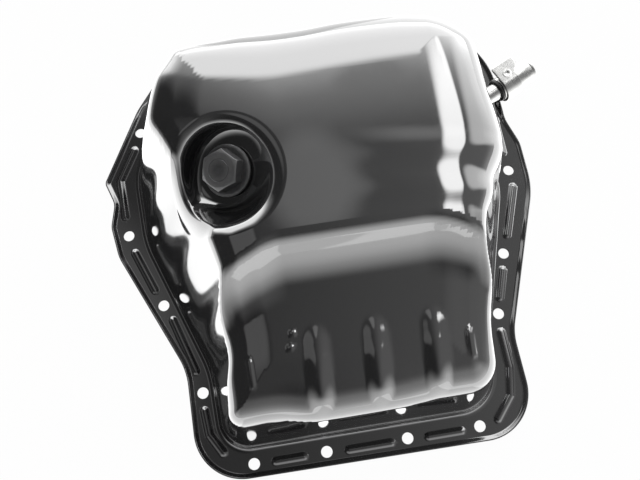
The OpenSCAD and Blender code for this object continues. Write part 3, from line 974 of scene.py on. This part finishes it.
def tube_body():
    """Stub tube with a narrow neck, a shoulder and a rolled lip."""
    bore = TUBE_R - TUBE_T
    profile = [
        (NECK_R - 0.3, NECK_BACK), (NECK_R, NECK_BACK + 0.3), (NECK_R, SHOULDER),
        (TUBE_R - 1.0, SHOULDER), (TUBE_R - 0.3, SHOULDER + 0.25), (TUBE_R, SHOULDER + 0.9),
        (TUBE_R, TUBE_END - 2.4), (TUBE_R - 0.12, TUBE_END - 2.15), (TUBE_R - 0.12, TUBE_END - 1.75),
        (TUBE_R, TUBE_END - 1.5), (TUBE_R, TUBE_END - 0.6), (TUBE_R - 0.25, TUBE_END - 0.12),
        (TUBE_R - 0.7, TUBE_END), (bore + 0.35, TUBE_END - 0.05), (bore, TUBE_END - 0.5),
        (bore, SHOULDER + TUBE_T), (NECK_R - TUBE_T, SHOULDER + TUBE_T), (NECK_R - TUBE_T, NECK_BACK)]
    return ring_piece("tube_body", circle_rings(even_ways(72), profile),
                      own_frame(TUBE_FOOT, math.pi / 2, TUBE_TURN), closed=True)


def strap_stations():
    """Places along the strap from the lug's tip: inner point, way out, thickness, both ends."""
    rows = []
    for s, thick in ((0, 0.4), (0.15, 0.8), (0.4, 1), (0.8, 1), (1.3, 1), (LUG_CORNER, 1)):
        cut = LUG_CORNER - math.sqrt(LUG_CORNER ** 2 - (LUG_CORNER - s) ** 2)
        rows.append(((-STRAP_R, LUG_W - s), (-1, 0), thick, STRAP_AT + cut, LUG_END - cut))
    for y in np.arange(LUG_W - LUG_CORNER - STRAP_STEP, STRAP_STEP / 2, -STRAP_STEP):
        share = float(ramp(np.array(y - LUG_FOOT), LUG_RUN, LUG_ENDS, LUG_ENDS))
        end = STRAP_END + (LUG_END - STRAP_END) * share
        rows.append(((-STRAP_R, y), (-1, 0), 1, STRAP_AT, end))
    for a in np.radians(np.arange(180, 361, 5)):
        way = (math.cos(a), math.sin(a))
        thick = 1 if a < math.radians(358) else 0.7
        rows.append(((STRAP_R * way[0], STRAP_R * way[1]), way, thick, STRAP_AT, STRAP_END))
    return rows


def weld_mark(along, across):
    """Shallow dimple with a raised ring where the lug is spot-welded."""
    rho = np.array(math.hypot(along - WELD_AT[0], across - WELD_AT[1]) / WELD_R)
    ring = WELD_RING_H * dome(np.abs(rho - WELD_RING) / WELD_RING_W)
    return float(ring - WELD_DEPTH * dome(rho))


def strap_body():
    """Strap round the tube's front half, with a flat lug on top to the back."""
    length = LUG_END - STRAP_AT
    ends = ((0, 0), (length, 0), (length, STRAP_T), (0, STRAP_T))
    section = outline([(w, t, 0.35) for w, t in ends], STRAP_STEP)
    rings = []
    for (px, py), (wx, wy), thick, low, high in strap_stations():
        ring = []
        for w, t in section:
            along = low + (high - low) * w / length
            out = STRAP_T / 2 + (t - STRAP_T / 2) * thick
            if t > STRAP_T - 0.01 and wx < -0.9:
                out += weld_mark(along, py)
            ring.append((px + wx * out, py + wy * out, along))
        rings.append(ring)
    return ring_piece("strap_body", rings, own_frame(TUBE_FOOT, math.pi / 2, TUBE_TURN), sharp=50)


def seal_body():
    """Rubber ring behind the tube's shoulder."""
    profile = []
    for a in np.linspace(0, 2 * math.pi, 20, endpoint=False):
        c, d = (math.copysign(abs(v) ** 0.6, v) for v in (math.cos(a), math.sin(a)))
        profile.append((NECK_R + SEAL_R + 0.05 + (SEAL_R - 0.05) * c, SHOULDER - SEAL_R + d))
    return ring_piece("seal_body", circle_rings(even_ways(60), profile),
                      own_frame(TUBE_FOOT, math.pi / 2, TUBE_TURN), closed=True)


def place(piece, node, slot, mat):
    """Give a piece its material and let it stand for a node of the frame."""
    piece.data.materials.append(mat)
    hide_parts(node)
    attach(piece, "root")


# ---------------------------------------------------------------- materials
def material(name, **sockets):
    """A principled material with the given sockets. Returns it with its nodes, links and shader."""
    mat = bpy.data.materials.new(name)
    mat.use_nodes = True
    shader = mat.node_tree.nodes["Principled BSDF"]
    for key, value in sockets.items():
        shader.inputs[key.replace("_", " ")].default_value = value
    return mat, mat.node_tree.nodes, mat.node_tree.links, shader


def noise(nodes, links, scale, detail):
    """Noise over the piece's own place, from 0 to 1."""
    where = nodes.new("ShaderNodeTexCoord")
    tex = nodes.new("ShaderNodeTexNoise")
    tex.inputs["Scale"].default_value = scale
    tex.inputs["Detail"].default_value = detail
    links.new(where.outputs["Object"], tex.inputs["Vector"])
    return tex.outputs["Fac"]


def ramped(nodes, links, value, stops):
    """Value turned into grey levels or colours at the given stops."""
    ramp_node = nodes.new("ShaderNodeValToRGB")
    elements = ramp_node.color_ramp.elements
    while len(elements) < len(stops):
        elements.new(0.5)
    for element, (at, level) in zip(elements, stops):
        element.position = at
        element.color = (level, level, level, 1) if not isinstance(level, tuple) else level
    links.new(value, ramp_node.inputs["Fac"])
    return ramp_node.outputs["Color"]


def bump(nodes, links, shader, value, strength, distance):
    """Fine relief in a shader, from a value."""
    node = nodes.new("ShaderNodeBump")
    node.inputs["Strength"].default_value = strength
    node.inputs["Distance"].default_value = distance
    links.new(value, node.inputs["Height"])
    links.new(node.outputs["Normal"], shader.inputs["Normal"])


def black_paint():
    """Gloss black paint under a clear coat, with a faint grain and flow."""
    mat, nodes, links, shader = material("gloss_black_paint", IOR=2.1, Coat_Weight=1.0,
                                         Coat_IOR=1.8, Coat_Roughness=0.05)
    shader.inputs["Base Color"].default_value = (0.012, 0.012, 0.0125, 1)
    grain = noise(nodes, links, 260, 3)
    level = ramped(nodes, links, grain, [(0.3, 0.05), (0.7, 0.085)])
    links.new(level, shader.inputs["Roughness"])
    flow = noise(nodes, links, 55, 1)
    bump(nodes, links, shader, flow, 0.05, 0.0006)
    return mat


def plug_steel():
    """Dark satin steel, painted lighter along its edges as a highlight."""
    mat, nodes, links, shader = material("dark_plug_steel", Metallic=0.6)
    grain = noise(nodes, links, 420, 4)
    colour = ramped(nodes, links, grain, [(0.3, (0.075, 0.075, 0.077, 1)),
                                          (0.75, (0.105, 0.105, 0.107, 1))])
    # Pointiness lightens the edges towards pale grey: a painted highlight along the bevels, not wear.
    edge = ramped(nodes, links, nodes.new("ShaderNodeNewGeometry").outputs["Pointiness"],
                  [(0.51, 0.0), (0.57, 0.75)])
    mix = nodes.new("ShaderNodeMix")
    mix.data_type = "RGBA"
    links.new(edge, mix.inputs["Factor"])
    links.new(colour, mix.inputs[6])
    mix.inputs[7].default_value = (0.42, 0.42, 0.42, 1)
    links.new(mix.outputs[2], shader.inputs["Base Color"])
    rough = ramped(nodes, links, noise(nodes, links, 900, 2), [(0.3, 0.32), (0.7, 0.46)])
    links.new(rough, shader.inputs["Roughness"])
    bump(nodes, links, shader, noise(nodes, links, 1500, 3), 0.06, 0.0002)
    return mat


def bright_zinc():
    """Bright zinc plate, clouded and lightly rough."""
    mat, nodes, links, shader = material("bright_zinc", Metallic=1.0)
    colour = ramped(nodes, links, noise(nodes, links, 140, 3),
                    [(0.3, (0.40, 0.40, 0.395, 1)), (0.7, (0.50, 0.50, 0.49, 1))])
    links.new(colour, shader.inputs["Base Color"])
    rough = ramped(nodes, links, noise(nodes, links, 600, 3), [(0.3, 0.22), (0.7, 0.34)])
    links.new(rough, shader.inputs["Roughness"])
    bump(nodes, links, shader, noise(nodes, links, 900, 3), 0.08, 0.0003)
    return mat


def plain_metal(name, level, low, high):
    """Bare metal of one grey level, its roughness from low to high."""
    mat, nodes, links, shader = material(name, Metallic=1.0)
    shader.inputs["Base Color"].default_value = (level, level, level, 1)
    rough = ramped(nodes, links, noise(nodes, links, 500, 3), [(0.3, low), (0.7, high)])
    links.new(rough, shader.inputs["Roughness"])
    bump(nodes, links, shader, noise(nodes, links, 700, 3), 0.1, 0.0004)
    return mat


def seal_rubber():
    """Matt black rubber."""
    mat, nodes, links, shader = material("black_seal_rubber")
    shader.inputs["Base Color"].default_value = (0.012, 0.012, 0.012, 1)
    rough = ramped(nodes, links, noise(nodes, links, 700, 3), [(0.3, 0.42), (0.7, 0.6)])
    links.new(rough, shader.inputs["Roughness"])
    bump(nodes, links, shader, noise(nodes, links, 1100, 3), 0.15, 0.0003)
    return mat


def dress(node, mat):
    """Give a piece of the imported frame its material."""
    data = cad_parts[node].data
    data.materials.clear()
    data.materials.append(mat)


# ---------------------------------------------------------------- stage, light and camera
def math_node(nodes, links, kind, a, b):
    """Result of a calculation on two values, each a number or a socket."""
    node = nodes.new("ShaderNodeMath")
    node.operation = kind
    for socket, value in zip(node.inputs, (a, b)):
        if isinstance(value, (int, float)):
            socket.default_value = value
        else:
            links.new(value, socket)
    return node.outputs[0]


def soft_step(nodes, links, value, start, end, top=1.0):
    """From 0 at start to top at end, smoothly."""
    node = nodes.new("ShaderNodeMapRange")
    node.interpolation_type = "SMOOTHSTEP"
    node.inputs["From Min"].default_value = start
    node.inputs["From Max"].default_value = end
    node.inputs["To Max"].default_value = top
    links.new(value, node.inputs["Value"])
    return node.outputs["Result"]


def soft_spot(nodes, links, way, centre, size, top):
    """Soft oval round a direction, given by its x and y."""
    squares = []
    for axis, mid, reach in zip((0, 1), centre, size):
        off = math_node(nodes, links, "SUBTRACT", way.outputs[axis], mid)
        off = math_node(nodes, links, "DIVIDE", off, reach)
        squares.append(math_node(nodes, links, "MULTIPLY", off, off))
    gap = math_node(nodes, links, "ADD", *squares)
    return soft_step(nodes, links, gap, 1.0, 0.25, top)


def back_light(nodes, links, way):
    """Wide light box behind the part with two shaded ovals, and the veil under it."""
    left = math_node(nodes, links, "MINIMUM", way.outputs["X"], 0.0)
    bend_left = math_node(nodes, links, "MULTIPLY", left, BACK_BEND)
    far = math_node(nodes, links, "ADD", way.outputs["Y"], bend_left)
    back = soft_step(nodes, links, far, *BACK_RANGE, BACK_BOX)
    for centre, size, top in SHADES:
        shade = soft_spot(nodes, links, way, centre, size, top)
        kept = math_node(nodes, links, "SUBTRACT", 1.0, shade)
        back = math_node(nodes, links, "MULTIPLY", back, kept)
    return [back, soft_step(nodes, links, far, *VEIL_RANGE, VEIL)]


def room_light(nodes, links, way):
    """Dimmer boxes in front and at the right, the horizon's glow and the spots."""
    x, y, z = (way.outputs[k] for k in ("X", "Y", "Z"))
    front = math_node(nodes, links, "MULTIPLY", soft_step(nodes, links, y, *FRONT_RANGE, FRONT_BOX),
                      soft_step(nodes, links, z, *FRONT_RISE))
    side = soft_step(nodes, links, x, *RIGHT_RANGE, RIGHT_SIDE)
    glow = soft_step(nodes, links, z, *HORIZON_RISE, HORIZON)
    return [front, side, glow] + [soft_spot(nodes, links, way, *spot) for spot in SPOTS]


def studio_world():
    """Studio round the part. The camera itself sees plain white."""
    world = bpy.data.worlds.new("studio")
    bpy.context.scene.world = world
    world.use_nodes = True
    nodes, links = world.node_tree.nodes, world.node_tree.links
    where = nodes.new("ShaderNodeTexCoord")
    way = nodes.new("ShaderNodeSeparateXYZ")
    links.new(where.outputs["Generated"], way.inputs["Vector"])
    total = ROOM
    for part in back_light(nodes, links, way) + room_light(nodes, links, way):
        total = math_node(nodes, links, "ADD", part, total)
    path = nodes.new("ShaderNodeLightPath")
    mix = nodes.new("ShaderNodeMix")
    links.new(path.outputs["Is Camera Ray"], mix.inputs["Factor"])
    links.new(total, mix.inputs["A"])
    mix.inputs["B"].default_value = 1.0
    links.new(mix.outputs["Result"], nodes["Background"].inputs["Strength"])
    nodes["Background"].inputs["Color"].default_value = WHITE


def pale_floor():
    """White floor that glows for the camera and for mirror images of it."""
    mat = bpy.data.materials.new("pale_floor")
    mat.use_nodes = True
    nodes, links = mat.node_tree.nodes, mat.node_tree.links
    nodes.clear()
    out = nodes.new("ShaderNodeOutputMaterial")
    diffuse = nodes.new("ShaderNodeBsdfDiffuse")
    diffuse.inputs["Color"].default_value = FLOOR_COLOUR
    glow = nodes.new("ShaderNodeEmission")
    path = nodes.new("ShaderNodeLightPath")
    lit = math_node(nodes, links, "MAXIMUM", path.outputs["Is Camera Ray"],
                    path.outputs["Is Glossy Ray"])
    mix = nodes.new("ShaderNodeMixShader")
    links.new(math_node(nodes, links, "MULTIPLY", lit, FLOOR_GLOW), mix.inputs[0])
    links.new(diffuse.outputs[0], mix.inputs[1])
    links.new(glow.outputs[0], mix.inputs[2])
    links.new(mix.outputs[0], out.inputs["Surface"])
    return mat


def floor():
    """Square floor under the part, for the renders alone."""
    mesh = bpy.data.meshes.new("floor")
    s = FLOOR_HALF
    mesh.from_pydata([(-s, -s, 0), (s, -s, 0), (s, s, 0), (-s, s, 0)], [], [(0, 1, 2, 3)])
    mesh.materials.append(pale_floor())
    link("floor", mesh)


def panel(name, x, y, level):
    """Flat light box lying on the table beside the part, from x[0], y[0] to x[1], y[1]."""
    data = bpy.data.lights.new(name, "AREA")
    data.shape = "RECTANGLE"
    data.size, data.size_y = x[1] - x[0], y[1] - y[0]
    data.energy = level * math.pi * data.size * data.size_y
    obj = link(name, data)
    obj.location = (sum(x) / 2, sum(y) / 2, PANEL_Z)
    obj.rotation_euler = (math.pi, 0, 0)
    obj.visible_camera = False


def panels():
    """Four panels that face up and light the walls from below."""
    near, far = PANEL_NEAR, PANEL_FAR
    panel("panel_left", (-PANEL_LEFT_FAR, -near), (-far, far), PANEL)
    panel("panel_right", (near, far), (-far, far), PANEL)
    panel("panel_front", (-near, near), (-far, 0), PANEL * FRONT_PANEL)
    panel("panel_back", (-near, near), (0, far), PANEL * BACK_PANEL)


def camera():
    """The photograph's camera, aimed at the middle of the pan's sheet."""
    data = bpy.data.cameras.new("camera")
    data.lens = LENS
    data.sensor_width = SENSOR
    data.clip_start, data.clip_end = CLIP
    obj = link("camera", data)
    shift = np.array([SHIFT[0], SHIFT[1], 0])
    at = Vector(tuple((np.array(CAMERA_AT) + shift) * MM))
    aim = Vector(tuple(shift * MM))
    forward = (aim - at).normalized()
    right = Vector(CAMERA_RIGHT).normalized()
    up = right.cross(forward)
    obj.matrix_world = Matrix((
        (right.x, up.x, -forward.x, at.x),
        (right.y, up.y, -forward.y, at.y),
        (right.z, up.z, -forward.z, at.z),
        (0, 0, 0, 1)))
    bpy.context.scene.camera = obj


camera()
zinc = bright_zinc()
place(link("pan_shell", shell_mesh(pan_skin(), "pan_shell")), "pan", "black_paint", black_paint())
place(plug_body(), "drain_plug", "dark_steel", plug_steel())
place(tube_body(), "dipstick_tube", "zinc", zinc)
place(strap_body(), "tube_bracket", "zinc", zinc)
place(seal_body(), "tube_seal", "seal", seal_rubber())
dress("drain_gasket", plain_metal("washer_aluminium", 0.6, 0.3, 0.45))
dress("drain_boss", plain_metal("bare_boss_steel", 0.4, 0.35, 0.5))

studio_world()
floor()
panels()
bpy.context.scene.view_settings.view_transform = "Standard"
